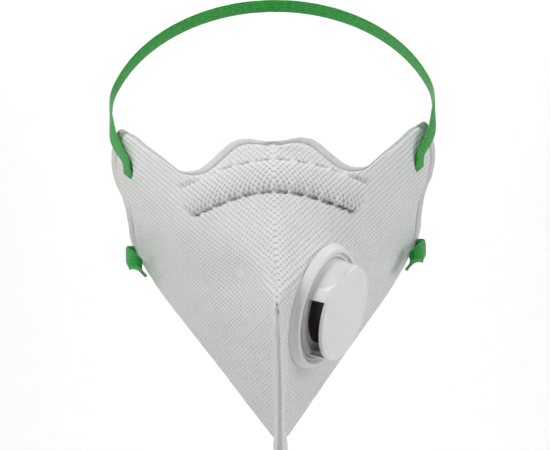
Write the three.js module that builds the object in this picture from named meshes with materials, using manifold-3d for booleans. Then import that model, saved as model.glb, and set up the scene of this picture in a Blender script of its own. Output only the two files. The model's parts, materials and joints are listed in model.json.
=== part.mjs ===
// Flat-fold dust mask with an exhale valve and one threaded elastic, in millimetres, +Z up.
// Origin: middle of the face opening, on the sagittal plane. The front of the mask faces -Y.
// The mask opens out of a flat sheet as four panels round the beak: two nose panels that share
// the ridge, and two cheek panels that meet at the welded chin seam.
import * as THREE from 'three';
import { mergeVertices } from 'three/addons/utils/BufferGeometryUtils.js';
import Module from 'manifold-3d';

const wasm = await Module();
wasm.setup();
const { Manifold, Mesh: ManifoldMesh } = wasm;

// ---------- driving dimensions ----------
const NOSE_NOTCH = [0, -55, 31.7]; // top of the ridge, over the bridge of the nose
const BEAK = [0, -95, -26.7]; // furthest point forward, where ridge and chin seam meet
const CHIN = [0, -60, -88]; // lower end of the chin seam
const BEND_END = [51.7, -23.1, 20.1]; // far end of a cheek bend, where the wing begins
const LINING_T = 0.5;
const FILTER_T = 1.0;
const COVER_T = 0.6;
const GAP = 0.3;
const FILTER_AT = LINING_T + GAP;
const COVER_AT = FILTER_AT + FILTER_T + GAP;
const FABRIC_T = COVER_AT + COVER_T;
const HEM_W = 3.5;
const HEM_T = 1.8;
const RIDGE_GAP = 1.2; // panel edges stand back from the ridge and from the cheek bends
const SEAM_GAP_TOP = 1.2; // ... and from the chin seam, more towards its lower end
const SEAM_GAP_LOW = 7;
const FIN_T = 1.6;
const FIN_W = 4.5;
const TAIL = 3;
const SLOT_L = 9;
const SLOT_W = 2.4;
const STRAP_W = 7.5;
const STRAP_T = 1.2;

// nose panel: upper edge from the notch over the hump down to the dip
const NOSE_EDGE = [
  [10, -54, 34],
  [18.6, -49, 33.2],
  [29.5, -38.5, 22.8],
  [38, -30, 21.3],
];
// cheek panel: up the wing from the dip, down its rear edge to the jaw corner, then to the chin
const CHEEK_EDGE = [
  [52.5, -18.5, 26.5],
  [60.6, -7, 36.5],
  [69.5, 0, 41],
  [73.7, 2, 31],
  [71.5, 3, 20],
  [67.5, 4, 11.6],
  [66.5, 5, 0],
  [66, 6, -6],
  [56.5, -5, -22],
  [49.5, -12, -33],
  [25, -36, -60],
];
// slot centres in a cheek panel: along the bend from the beak, and down from the bend
const SLOT_UP = [118, 13];
const SLOT_LOW = [99, 35.5];

// exhale valve, on the +X cheek; heights are above the outer cover
const VALVE_AT = [15.2, -62.9, -32.1];
const VALVE_UP = [0.039, -0.439, 0.898]; // the valve's own upright, in the panel
const HOLE_R = 16.5;
const NECK_R = 15.8;
const NECK_BORE_R = 13.6;
const FLANGE_R = 25.8;
const LIP_R = 24.3;
const CAP_R = 19.2;
const CAP_FOOT_R = 20.2;
const CAP_H = 10.8;
const CAP_T = 1.1;
// the hood over the face: height over the valve's centre, and off the panel, where each slope ends
const HOOD = [
  [13, 10.8],
  [16.5, 8.9],
  [20.2, 3.4],
];
const WINDOW_HALF = 11.3;
const WINDOW_LOW = 2.9;
const WINDOW_HIGH = 9.5;
const FLAP_R = 14.6;
const FLAP_T = 0.4;
const FLAP_AT = 2.1;

// head strap: half an ellipse behind the crown, in a plane leaning back
const CROWN_LEAN = THREE.MathUtils.degToRad(42);
const CROWN_A = 77.5;
const CROWN_B = 82;
const CROWN_Z = 24;
// neck strap: half an ellipse behind the neck
const NAPE_LEAN = THREE.MathUtils.degToRad(105);
const NAPE_A = 60;
const NAPE_B = 72;
const NAPE_Z = -20;

// ---------- helpers ----------
const V = (p) => new THREE.Vector3(p[0], p[1], p[2]);
const side = (p, s) => new THREE.Vector3(p[0] * s, p[1], p[2]);

function mat(name, color, roughness, metalness) {
  const m = new THREE.MeshStandardMaterial({ color, roughness, metalness });
  m.name = name;
  return m;
}
const MATS = {
  cover: () => mat('cover', 0xe9eae8, 0.85, 0),
  filter: () => mat('filter', 0xf3f3f1, 0.95, 0),
  lining: () => mat('lining', 0xf1f1ef, 0.9, 0),
  weld: () => mat('weld', 0xdfe0dd, 0.6, 0),
  plastic: () => mat('plastic', 0xdcdedb, 0.4, 0),
  silicone: () => mat('silicone', 0x2a1c17, 0.45, 0),
  metal: () => mat('metal', 0xb9bcc0, 0.35, 1),
  foam: () => mat('foam', 0xd9dad6, 0.95, 0),
  elastic: () => mat('elastic', 0x3da04a, 0.85, 0),
};

function node(name, geometry, material) {
  const m = new THREE.Mesh(geometry, material);
  m.name = name;
  return m;
}

// a panel's own frame: X along its hinge line, Y in the panel, Z its outward normal
function panelFrame(origin, along, normal) {
  const x = along.clone().normalize();
  const z = normal.clone().normalize();
  const y = z.clone().cross(x);
  const m = new THREE.Matrix4().makeBasis(x, y, z);
  m.setPosition(origin);
  return m;
}

function flat(frame, p) {
  const q = p.clone().applyMatrix4(frame.clone().invert());
  return new THREE.Vector2(q.x, q.y);
}

function place(frame, mesh) {
  mesh.applyMatrix4(frame);
  return mesh;
}

function plate(points, holes, from, thick) {
  const shape = new THREE.Shape(points);
  holes.forEach((h) => shape.holes.push(new THREE.Path(h)));
  const g = new THREE.ExtrudeGeometry(shape, { depth: thick, bevelEnabled: false });
  g.translate(0, 0, from);
  return g;
}

// moves each corner of a closed outline in by d (positive is inward for either winding)
function inset(points, d) {
  const n = points.length;
  const s = THREE.ShapeUtils.area(points) > 0 ? 1 : -1;
  const dist = typeof d === 'number' ? points.map(() => d) : d;
  return points.map((p, i) => {
    const a = points[(i + n - 1) % n];
    const b = points[(i + 1) % n];
    const u = p.clone().sub(a).normalize();
    const w = b.clone().sub(p).normalize();
    const nu = new THREE.Vector2(-u.y, u.x).multiplyScalar(s);
    const nw = new THREE.Vector2(-w.y, w.x).multiplyScalar(s);
    const du = dist[(i + n - 1) % n];
    const dw = dist[i];
    const det = nu.x * nw.y - nu.y * nw.x;
    if (Math.abs(det) < 0.3) return p.clone().add(nu.multiplyScalar((du + dw) / 2));
    const x = (du * nw.y - dw * nu.y) / det;
    const y = (nu.x * dw - nw.x * du) / det;
    return new THREE.Vector2(p.x + x, p.y + y);
  });
}

const slotAt = (at, s) => new THREE.Vector2(at[0], -s * at[1]);

function slotHole(at, s, dirX) {
  const c = slotAt(at, s);
  const u = dirX.clone().normalize();
  const w = new THREE.Vector2(-u.y, u.x);
  return [[-1, -1], [1, -1], [1, 1], [-1, 1]].map(
    ([i, j]) =>
      new THREE.Vector2(
        c.x + (u.x * i * SLOT_L) / 2 + (w.x * j * SLOT_W) / 2,
        c.y + (u.y * i * SLOT_L) / 2 + (w.y * j * SLOT_W) / 2,
      ),
  );
}

function circle(c, r, n) {
  return Array.from({ length: n }, (_, i) => {
    const t = (i / n) * 2 * Math.PI;
    return new THREE.Vector2(c.x + r * Math.cos(t), c.y + r * Math.sin(t));
  });
}

function toManifold(geometry) {
  const g = mergeVertices(geometry.clone().deleteAttribute('normal').deleteAttribute('uv'), 1e-4);
  return new Manifold(
    new ManifoldMesh({
      numProp: 3,
      vertProperties: new Float32Array(g.attributes.position.array),
      triVerts: new Uint32Array(g.index.array),
    }),
  );
}

function fromManifold(m) {
  const out = m.getMesh();
  const g = new THREE.BufferGeometry();
  g.setAttribute('position', new THREE.BufferAttribute(new Float32Array(out.vertProperties), 3));
  g.setIndex(new THREE.BufferAttribute(new Uint32Array(out.triVerts), 1));
  const h = g.toNonIndexed();
  h.computeVertexNormals();
  return h;
}

function lathe(profile, segments) {
  const pts = profile.map(([r, h]) => new THREE.Vector2(r, h));
  const g = new THREE.LatheGeometry(pts, segments);
  g.rotateX(Math.PI / 2); // axis from +Y to +Z
  return g;
}

// ---------- panels ----------
const ridge = () => V(NOSE_NOTCH).sub(V(BEAK));
const bend = (s) => side(BEND_END, s).sub(V(BEAK));
const noseNormal = (s) => bend(s).cross(ridge()).normalize().multiplyScalar(s);
const cheekNormal = (s) => V(CHIN).sub(V(BEAK)).cross(bend(s)).normalize().multiplyScalar(s);
const noseFrame = (s) => panelFrame(V(BEAK), ridge(), noseNormal(s));
const cheekFrame = (s) => panelFrame(V(BEAK), bend(s), cheekNormal(s));

// outline and, edge by edge, how far the layers stand back from it
function noseOutline(s) {
  const f = noseFrame(s);
  const pts = [V(BEAK), V(NOSE_NOTCH), ...NOSE_EDGE.map((p) => side(p, s)), side(BEND_END, s)];
  const flats = pts.map((p) => flat(f, p));
  const last = flats.length - 1;
  const back = flats.map((_, i) => (i === 0 || i >= last - 1 ? RIDGE_GAP : 0));
  return { f, flats, back };
}

function cheekOutline(s) {
  const f = cheekFrame(s);
  const pts = [V(BEAK), side(BEND_END, s), ...CHEEK_EDGE.map((p) => side(p, s)), V(CHIN)];
  const flats = pts.map((p) => flat(f, p));
  // the edge along the chin seam runs out of parallel, so the corner at the chin moves first
  const last = flats.length - 1;
  const seam = flats[last].clone().sub(flats[0]).normalize();
  const inward = flats[1].clone().sub(flats[0]);
  inward.addScaledVector(seam, -inward.dot(seam)).normalize();
  flats[0] = flats[0].clone().addScaledVector(inward, SEAM_GAP_TOP);
  flats[last] = flats[last].clone().addScaledVector(inward, SEAM_GAP_LOW);
  flats[last].addScaledVector(seam, -2);
  const back = flats.map((_, i) => (i < 2 ? RIDGE_GAP : 0));
  return { f, flats, back };
}

// the free edge, from the first to the last of the outline's inner corners, as a welded hem band
function hemBand(o, first, last) {
  const outer = inset(o.flats, o.back);
  const inner = inset(o.flats, o.back.map((d, i) => (i >= first && i < last ? HEM_W : d)));
  const pts = [];
  for (let i = first; i <= last; i += 1) pts.push(outer[i % outer.length]);
  for (let i = last; i >= first; i -= 1) pts.push(inner[i % inner.length]);
  return pts;
}

function layerOutline(o, first, last) {
  return inset(o.flats, o.back.map((d, i) => (i >= first && i < last ? HEM_W + GAP : d)));
}

function panelLayers(o, first, last, holes, names) {
  const pts = layerOutline(o, first, last);
  return [
    node(names[0], plate(pts, holes, COVER_AT, COVER_T), MATS.cover()),
    node(names[1], plate(pts, holes, FILTER_AT, FILTER_T), MATS.filter()),
    node(names[2], plate(pts, holes, 0, LINING_T), MATS.lining()),
  ].map((m) => place(o.f, m));
}

function nosePanel(s, word) {
  const o = noseOutline(s);
  const last = o.flats.length - 1;
  const names = [`outer_cover_nose_${word}`, `filter_nose_${word}`, `lining_nose_${word}`];
  const band = hemBand(o, 1, last - 1);
  const hem = node(`hem_nose_${word}`, plate(band, [], 0.4, HEM_T), MATS.weld());
  return [...panelLayers(o, 1, last - 1, [], names), place(o.f, hem)];
}

function slotDirections(o) {
  const n = o.flats.length;
  const low = o.flats[n - 2].clone().sub(o.flats[n - 4]);
  const up = o.flats[0].clone().sub(o.flats[5]);
  return { up, low };
}

function cheekPanel(s, word) {
  const o = cheekOutline(s);
  const last = o.flats.length - 1;
  const dir = slotDirections(o);
  const holes = [slotHole(SLOT_UP, s, dir.up), slotHole(SLOT_LOW, s, dir.low)];
  if (s > 0) holes.push(circle(flat(o.f, V(VALVE_AT)), HOLE_R, 40));
  const names = [`outer_cover_cheek_${word}`, `filter_cheek_${word}`, `lining_cheek_${word}`];
  const band = hemBand(o, 2, last);
  const hem = node(`hem_cheek_${word}`, plate(band, [], 0.4, HEM_T), MATS.weld());
  return [...panelLayers(o, 2, last, holes, names), place(o.f, hem)];
}

// ---------- chin seam ----------
// the two cheek panels' edges turn out and are welded face to face; the weld runs on as a small tail
function chinSeam() {
  const down = V(CHIN).sub(V(BEAK));
  const long = down.length();
  const f = panelFrame(V(BEAK), down, new THREE.Vector3(1, 0, 0));
  const out = f.elements[5] < 0 ? 1 : -1; // which way is forward in the frame's Y
  const pts = [
    [4, 0.5],
    [4, FIN_W * 0.55],
    [10, FIN_W],
    [long - 2, FIN_W],
    [long + TAIL, FIN_W * 0.7],
    [long + TAIL, -0.5],
    [long + 1, -1.2],
    [long - 3, 0.5],
  ].map(([u, w]) => new THREE.Vector2(u, w * out));
  const g = plate(pts, [], -FIN_T / 2, FIN_T);
  return place(f, node('chin_seam', g, MATS.weld()));
}

// ---------- nose pieces: strips bent in a V over the ridge ----------
// d is the height over the panels' inner faces, and from-to the stretch along the ridge
function ridgeStrip(name, material, d, thick, arm, from, to) {
  const along = ridge().normalize();
  const back = along.clone().cross(new THREE.Vector3(1, 0, 0)).normalize();
  if (back.y < 0) back.negate();
  const open = Math.atan2(BEND_END[0], bend(1).dot(back)); // sagittal plane to nose panel
  const arms = (h, len) => {
    const tip = -h / Math.sin(open);
    const y = tip + len * Math.cos(open);
    const x = len * Math.sin(open);
    return { tip, x, y };
  };
  const o = arms(d + thick, arm + (d + thick) / Math.tan(open));
  const i = arms(d, arm + d / Math.tan(open));
  const pts = [[0, o.tip], [o.x, o.y], [i.x, i.y], [0, i.tip], [-i.x, i.y], [-o.x, o.y]];
  const g = plate(pts.map(([x, y]) => new THREE.Vector2(x, y)), [], from, to - from);
  const m = new THREE.Matrix4().makeBasis(new THREE.Vector3(1, 0, 0), back, along);
  if (m.determinant() < 0) m.makeBasis(new THREE.Vector3(-1, 0, 0), back, along);
  m.setPosition(V(BEAK));
  return place(m, node(name, g, material));
}

function noseParts() {
  return [
    ridgeStrip('nose_clip', MATS.metal(), FABRIC_T + GAP, 0.8, 40, 54.5, 59.5),
    ridgeStrip('nose_pocket', MATS.cover(), FABRIC_T + 2 * GAP + 0.8, 0.6, 44, 50.5, 63.5),
    ridgeStrip('nose_foam', MATS.foam(), -4.3, 4, 34, 54, 66),
  ];
}

// ---------- exhale valve ----------
function valveFrame() {
  const n = cheekNormal(1).normalize();
  const up = V(VALVE_UP);
  up.addScaledVector(n, -up.dot(n)).normalize();
  const right = up.clone().cross(n);
  const m = new THREE.Matrix4().makeBasis(right, up, n);
  const off = V(VALVE_AT).sub(V(BEAK)).dot(n); // the centre, brought onto the panel
  m.setPosition(V(VALVE_AT).addScaledVector(n, FABRIC_T + GAP - off));
  return m;
}

function valveBase() {
  const foot = -(FABRIC_T + GAP) - 1.8;
  const ring = toManifold(
    lathe(
      [
        [NECK_BORE_R, foot],
        [NECK_R, foot],
        [NECK_R, 0],
        [FLANGE_R, 0],
        [FLANGE_R, 0.8],
        [FLANGE_R - 0.5, 2.2],
        [LIP_R, 3.3],
        [LIP_R - 0.8, 3.3],
        [LIP_R - 1.4, 1.2],
        [16.2, 1.2],
        [16.2, 1.9],
        [NECK_BORE_R, 1.9],
        [NECK_BORE_R, foot],
      ],
      48,
    ),
  );
  const bars = [0, 1].map((i) => {
    const b = new THREE.BoxGeometry(2 * NECK_BORE_R + 2, 1.6, 1.6);
    b.translate(0, 0, 0.4);
    b.rotateZ((i * Math.PI) / 2);
    return toManifold(b);
  });
  return fromManifold(ring.add(bars[0]).add(bars[1]));
}

// solid body of the cap, shrunk by t: a low cone with its upper segment sloping away
function capBody(t, foot) {
  const top = CAP_H - t;
  const body = toManifold(
    lathe([[0, foot], [CAP_FOOT_R - t, foot], [CAP_R - t, top - 0.6], [CAP_R - t - 0.6, top], [0, top]], 48),
  );
  return HOOD.slice(1).reduce((solid, end, i) => solid.subtract(above(HOOD[i], end, t)), body);
}

// everything over the slope from one point of the hood to the next, lowered by t
function above([v0, h0], [v1, h1], t) {
  const tilt = Math.atan2(h0 - h1, v1 - v0);
  const block = new THREE.BoxGeometry(70, 60, 20);
  block.rotateX(-tilt);
  const lift = 10 - t;
  block.translate(0, v0 + Math.sin(tilt) * lift, h0 + Math.cos(tilt) * lift);
  return toManifold(block);
}

function valveCap() {
  let shell = capBody(0, 1.6).subtract(capBody(CAP_T, 1.0));
  [-1, 1].forEach((s) => {
    const w = new THREE.BoxGeometry(8, 2 * WINDOW_HALF, WINDOW_HIGH - WINDOW_LOW);
    w.translate(s * (CAP_R + 0.6), -1, (WINDOW_HIGH + WINDOW_LOW) / 2);
    shell = shell.subtract(toManifold(w));
  });
  return fromManifold(shell);
}

function valve() {
  const f = valveFrame();
  const ring = lathe(
    [[16.2, 0], [19.2, 0], [19.2, 0.8], [18.6, 1.3], [16.2, 1.3], [16.2, 0]],
    48,
  );
  ring.rotateX(Math.PI);
  ring.translate(0, 0, -(FABRIC_T + GAP) - 0.3);
  const flap = lathe([[0, 0], [FLAP_R, 0], [FLAP_R, FLAP_T], [0, FLAP_T]], 40);
  flap.translate(0, 0, FLAP_AT + 0.1);
  return [
    node('valve_base', valveBase(), MATS.plastic()),
    node('valve_flap', flap, MATS.silicone()),
    node('valve_cap', valveCap(), MATS.plastic()),
    node('valve_ring', ring, MATS.plastic()),
  ].map((m) => place(f, m));
}

// ---------- elastic ----------
// a flat band that runs round half an ellipse with two straight legs, on edge in its own plane
function strapLoop(name, a, b, legX, legH, centreH, lean, z0, y0) {
  const line = (off) => {
    const pts = [[legX + off, legH]];
    for (let i = 0; i <= 28; i += 1) {
      const t = (i / 28) * Math.PI;
      pts.push([(a + off) * Math.cos(t), centreH + (b + off) * Math.sin(t)]);
    }
    pts.push([-legX - off, legH]);
    return pts;
  };
  const outer = line(STRAP_T / 2);
  const inner = line(-STRAP_T / 2).reverse();
  const pts = [...outer, ...inner].map(([x, y]) => new THREE.Vector2(x, y));
  const g = plate(pts, [], -STRAP_W / 2, STRAP_W);
  const upDir = new THREE.Vector3(0, Math.sin(lean), Math.cos(lean));
  const x = new THREE.Vector3(1, 0, 0);
  const m = new THREE.Matrix4().makeBasis(x, upDir, x.clone().cross(upDir));
  m.setPosition(0, y0, z0);
  return place(m, node(name, g, MATS.elastic()));
}

// the run inside a cheek panel, from the upper slot to the lower one
function strapRun(s, word) {
  const f = cheekFrame(s);
  const a = slotAt(SLOT_UP, s);
  const b = slotAt(SLOT_LOW, s);
  const d = b.clone().sub(a);
  const w = new THREE.Vector2(-d.y, d.x).normalize().multiplyScalar(STRAP_W / 2);
  const pts = [a.clone().add(w), b.clone().add(w), b.clone().sub(w), a.clone().sub(w)];
  return place(f, node(`strap_run_${word}`, plate(pts, [], -1.8, STRAP_T), MATS.elastic()));
}

function straps() {
  const rise = (50 - CROWN_Z) / Math.cos(CROWN_LEAN);
  return [
    strapLoop('head_strap', CROWN_A, CROWN_B, 75.5, 3, rise, CROWN_LEAN, CROWN_Z, 1),
    strapLoop('neck_strap', NAPE_A, NAPE_B, 61, 10, 22, NAPE_LEAN, NAPE_Z, 1),
    strapRun(1, 'right'),
    strapRun(-1, 'left'),
  ];
}

// ---------- whole mask ----------
function group(name, meshes) {
  const g = new THREE.Group();
  g.name = name;
  meshes.forEach((m) => g.add(m));
  return g;
}

const mask = new THREE.Group();
mask.name = 'dust_mask';
mask.add(group('right_half', [...nosePanel(1, 'right'), ...cheekPanel(1, 'right')]));
mask.add(group('left_half', [...nosePanel(-1, 'left'), ...cheekPanel(-1, 'left')]));
mask.add(chinSeam());
mask.add(group('nose_parts', noseParts()));
mask.add(group('valve_parts', valve()));
mask.add(group('elastic', straps()));
export default mask;
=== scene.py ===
"""Flat-fold dust mask with an exhale valve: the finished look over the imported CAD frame.

Lengths in the shape code are millimetres in the CAD's own frame (+X valve side, -Y front,
+Z up) and become metres when a mesh is made.
"""
import json
import math

import bmesh
import bpy
import numpy as np
from mathutils import Matrix, Vector, noise


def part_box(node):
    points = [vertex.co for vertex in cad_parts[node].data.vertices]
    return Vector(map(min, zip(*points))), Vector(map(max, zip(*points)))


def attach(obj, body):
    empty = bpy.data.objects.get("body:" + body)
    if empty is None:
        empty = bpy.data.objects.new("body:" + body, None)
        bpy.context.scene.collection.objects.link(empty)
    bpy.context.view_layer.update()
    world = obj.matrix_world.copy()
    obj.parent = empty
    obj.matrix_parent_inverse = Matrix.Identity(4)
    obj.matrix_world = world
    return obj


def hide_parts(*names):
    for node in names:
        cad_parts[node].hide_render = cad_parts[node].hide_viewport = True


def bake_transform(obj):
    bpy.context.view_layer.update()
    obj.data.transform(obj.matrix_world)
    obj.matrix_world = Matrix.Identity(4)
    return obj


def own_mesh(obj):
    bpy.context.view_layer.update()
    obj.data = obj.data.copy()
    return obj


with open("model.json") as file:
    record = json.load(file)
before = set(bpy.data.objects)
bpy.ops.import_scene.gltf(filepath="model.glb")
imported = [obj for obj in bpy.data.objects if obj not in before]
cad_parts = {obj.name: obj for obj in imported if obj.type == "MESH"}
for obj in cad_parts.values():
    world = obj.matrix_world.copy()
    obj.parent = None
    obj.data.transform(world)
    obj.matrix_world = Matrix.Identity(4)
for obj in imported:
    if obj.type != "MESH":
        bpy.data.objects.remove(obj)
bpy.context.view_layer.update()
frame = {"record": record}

MM = 0.001
SIDES = {"right": 1, "left": -1}
JOINTS = {j["name"]: j for j in frame["record"]["behaviour"]["joints"]}
MOUNTS = {m["name"]: m for m in frame["record"]["mounts"]}


def unit(v):
    v = np.asarray(v, float)
    return v / np.linalg.norm(v)


def pointing(v, axis, sign):
    """v at unit length, turned so that its component along an axis has this sign."""
    v = unit(v)
    return v if v[axis] * sign > 0 else -v


# ---------- the frame: hinge lines and panel planes ----------
BEAK = np.array(JOINTS["fold_right"]["pos_m"]) / MM
RIDGE = unit(JOINTS["fold_right"]["axis"])  # from the beak up to the nose notch
BEND = -unit(JOINTS["cheek_bend_right"]["axis"])  # from the beak towards the right wing
CHEEK_N = unit(MOUNTS["valve_front"]["axis"])
NOSE_N = unit(np.cross(BEND, RIDGE))
BELOW_BEND = pointing(np.cross(BEND, NOSE_N + CHEEK_N), 2, -1)
FABRIC_T = 2.7  # outer cover's face over the inner face of the panels
COVER_T, FILTER_T, LINING_T, GAP = 0.6, 1.0, 0.5, 0.3
CHIN = np.array([0, -60, -88.0])

# ---------- outline of the right half, seen from the front: x, z, and z on the centre line ----------
OUTLINE = [
    (0, 34.9, 34.9), (4.5, 35.4, 31.5), (9, 36.4, 28), (13.5, 36.8, 24), (18, 35.6, 20),
    (22, 32.6, 16), (26.5, 28.6, 12), (31, 25.3, 8), (35, 24.1, 4), (39.5, 24.3, -1),
    (44, 26.3, -6), (50.5, 31.5, -12), (56, 35.8, -17), (61, 39.7, -21), (65.5, 43.5, -24),
    (69.2, 45.2, -26.5), (72.3, 41.5, -29), (74, 34.5, -31.5), (74.1, 28, -34),
    (72.4, 20.5, -36.5), (69.3, 14, -39), (67.7, 7.5, -41.5), (67, 0.5, -44),
    (66.7, -4.5, -46), (64.6, -10.3, -48.5), (61, -16.2, -51), (57.3, -21.8, -53.5),
    (49.8, -31.8, -57), (40, -43.3, -62), (30, -55, -67.5), (20, -66.8, -74), (12, -76.3, -79.5),
    (5, -84.3, -85), (0.9, -88.3, -88.3),
]
CHIN_EDGE_FROM = 24  # outline points from here on are the lower edge, with its narrow hem

# ---------- valve ----------
VALVE_N = CHEEK_N
FLAP_RIGHT = -unit(JOINTS["valve_flap_hinge"]["axis"])
VALVE_UP = unit(np.cross(VALVE_N, FLAP_RIGHT))
CAP_H = 10.8
FACE_POINT_DROP = 4  # the face mount lies this far below the valve's centre
VALVE_BASE = np.array(MOUNTS["valve_front"]["pos_m"]) / MM
VALVE_BASE = VALVE_BASE + VALVE_UP * FACE_POINT_DROP - VALVE_N * CAP_H
HOLE_R = 16.5


# ---------- small tools ----------
def smooth(t):
    """An eased step from 0 to 1."""
    t = np.clip(t, 0, 1)
    return t * t * (3 - 2 * t)


def catmull(points, per):
    """Points on a curve through all of points, per of them to a span."""
    p = np.array(points, float)
    ext = np.vstack([2 * p[0] - p[1], p, 2 * p[-1] - p[-2]])
    out = []
    for i in range(len(p) - 1):
        a, b, c, d = ext[i : i + 4]
        for t in np.arange(per) / per:
            out.append(
                0.5 * ((2 * b) + (c - a) * t + (2 * a - 5 * b + 4 * c - d) * t**2
                       + (3 * b - a - 3 * c + d) * t**3)
            )
    out.append(p[-1])
    return np.array(out)


def resample(line, n):
    """n points along a polyline at equal steps."""
    seg = lengths_along(line)
    at = np.linspace(0, seg[-1], n)
    return np.column_stack([np.interp(at, seg, line[:, k]) for k in range(line.shape[1])])


def make(name, verts, faces, material, smooth_faces=True, uv=None):
    """A mesh object from points in millimetres; uv has one pair per vertex, in millimetres."""
    me = bpy.data.meshes.new(name)
    me.from_pydata([tuple(v) for v in np.asarray(verts) * MM], [], [tuple(map(int, f)) for f in faces])
    me.validate(clean_customdata=False)
    if uv is not None:
        layer = me.uv_layers.new(name="flat")
        loops = np.array([l.vertex_index for l in me.loops])
        layer.data.foreach_set("uv", np.asarray(uv, float)[loops].ravel())
    me.polygons.foreach_set("use_smooth", [smooth_faces] * len(me.polygons))
    ob = bpy.data.objects.new(name, me)
    bpy.context.scene.collection.objects.link(ob)
    me.materials.append(material)
    return ob


def lengths_along(path):
    """Distance along a polyline of each of its points."""
    return np.r_[0, np.cumsum(np.linalg.norm(np.diff(path, axis=0), axis=1))]


def grid_faces(rows, cols, start=0, flip=False, wrap=False):
    """Four-sided faces of a grid of points, closed across its columns when wrap is set."""
    out = []
    for i in range(rows - 1):
        for j in range(cols if wrap else cols - 1):
            a = start + i * cols + j
            b = start + i * cols + (j + 1) % cols
            c, d = b + cols, a + cols
            out.append((a, b, c, d) if not flip else (a, d, c, b))
    return out


# ---------- camera ----------
CAMERA_Y = -0.6  # metres, in front of the mask
CAMERA_LENS, CAMERA_SENSOR = 87.8, 36
CAMERA_ROLL = math.radians(-1.42)


def camera():
    data = bpy.data.cameras.new("camera")
    data.sensor_width = CAMERA_SENSOR
    data.lens = CAMERA_LENS
    cam = bpy.data.objects.new("camera", data)
    bpy.context.scene.collection.objects.link(cam)
    cam.matrix_world = (
        Matrix.Translation((0, CAMERA_Y, 0))
        @ Matrix.Rotation(math.pi / 2, 4, "X")
        @ Matrix.Rotation(CAMERA_ROLL, 4, "Z")
    )
    bpy.context.scene.camera = cam


# ---------- materials ----------
class Nodes:
    """Short spelling for a material's node tree."""

    def __init__(self, name):
        self.m = bpy.data.materials.new(name)
        self.m.use_nodes = True
        self.t = self.m.node_tree
        self.bsdf = self.t.nodes["Principled BSDF"]

    def add(self, kind, **props):
        inputs = props.pop("inputs", {})
        n = self.t.nodes.new("ShaderNode" + kind)
        for k, v in props.items():
            setattr(n, k, v)
        for k, v in inputs.items():
            if isinstance(v, bpy.types.NodeSocket):
                self.t.links.new(v, n.inputs[k])
            else:
                n.inputs[k].default_value = v
        return n

    def math(self, op, a, b=0.0):
        return self.add("Math", operation=op, inputs={0: a, 1: b}).outputs[0]

    def ramp(self, fac, stops):
        n = self.add("ValToRGB", inputs={0: fac})
        el = n.color_ramp.elements
        while len(el) < len(stops):
            el.new(0.5)
        for e, (pos, col) in zip(el, stops):
            e.position = pos
            e.color = (*col, 1) if len(col) == 3 else col
        return n.outputs[0]

    def set(self, **values):
        for k, v in values.items():
            self.bsdf.inputs[k.replace("_", " ")].default_value = v

    def link(self, socket, name):
        self.t.links.new(socket, self.bsdf.inputs[name])

    def bump(self, height, strength, distance, normal=None):
        n = self.add("Bump", inputs={"Height": height, "Strength": strength, "Distance": distance})
        if normal is not None:
            self.t.links.new(normal, n.inputs["Normal"])
        return n.outputs[0]


def noise_at(n, scale, detail=2.0, rough=0.5, coords=None):
    """Noise over the object, or over the given coordinates."""
    c = coords or n.add("TexCoord").outputs["Object"]
    inputs = {"Vector": c, "Scale": scale, "Detail": detail, "Roughness": rough}
    return n.add("TexNoise", inputs=inputs).outputs[0]


def multiplied(n, a, b):
    """Two colours multiplied."""
    inputs = {"Factor": 1.0, "A": a, "B": b}
    mix = n.add("Mix", data_type="RGBA", blend_type="MULTIPLY", inputs=inputs)
    return mix.outputs["Result"]


ROW, PITCH = 1.45, 2.35  # embossed dots: step along the ridge, and step across it in one row


def embossed(name, color, dots=1.0, fuzz=1.0, shade=0.13):
    """White nonwoven with staggered lens-shaped pits, laid out in the flat sheet's own directions; the pits
    carry painted shade, the colour darkened by shade times dots.
    """
    n = Nodes(name)
    uv = n.add("UVMap", uv_map="flat").outputs[0]
    xyz = n.add("SeparateXYZ", inputs={0: uv})
    a = n.math("COSINE", n.math("MULTIPLY", xyz.outputs[0], math.pi / ROW))
    b = n.math("COSINE", n.math("MULTIPLY", xyz.outputs[1], 2 * math.pi / PITCH))
    lattice = n.math("MULTIPLY", a, b)
    pit = n.add("MapRange", interpolation_type="SMOOTHSTEP",
                inputs={"Value": lattice, "From Min": -0.15, "From Max": 0.9}).outputs[0]
    cloud = noise_at(n, 55, 3)
    fibre = noise_at(n, 2600, 4, 0.65)
    # painted shade: the colour is darkened in the pits, where the bump is lowest
    pit_shade = n.ramp(pit, [(0, color), (1, tuple(c * (1 - shade * dots) for c in color))])
    mottle = n.ramp(cloud, [(0.3, (0.955,) * 3), (0.7, (1, 1, 1))])
    n.link(multiplied(n, pit_shade, mottle), "Base Color")
    rough = n.add("MapRange", inputs={"Value": fibre, "To Min": 0.78, "To Max": 0.98}).outputs[0]
    n.link(rough, "Roughness")
    height = n.math("SUBTRACT", 1.0, pit)
    soft = n.bump(height, 0.9 * dots, 0.0005)
    n.link(n.bump(fibre, 0.35 * fuzz, 0.00012, soft), "Normal")
    n.set(Sheen_Weight=0.25, Sheen_Roughness=0.5, Specular_IOR_Level=0.25,
          Subsurface_Weight=0.12, Subsurface_Scale=0.002)
    return n.m


def pressed(name, color):
    """A thermal weld: the layers pressed to a stiff, faintly glossy film."""
    n = Nodes(name)
    fleck = noise_at(n, 900, 3, 0.6)
    n.link(n.ramp(fleck, [(0.35, tuple(c * 0.9 for c in color)), (0.65, color)]), "Base Color")
    n.link(n.add("MapRange", inputs={"Value": fleck, "To Min": 0.4, "To Max": 0.65}).outputs[0], "Roughness")
    n.link(n.bump(fleck, 0.4, 0.0002), "Normal")
    n.set(Specular_IOR_Level=0.4, Subsurface_Weight=0.15, Subsurface_Scale=0.002)
    return n.m


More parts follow.
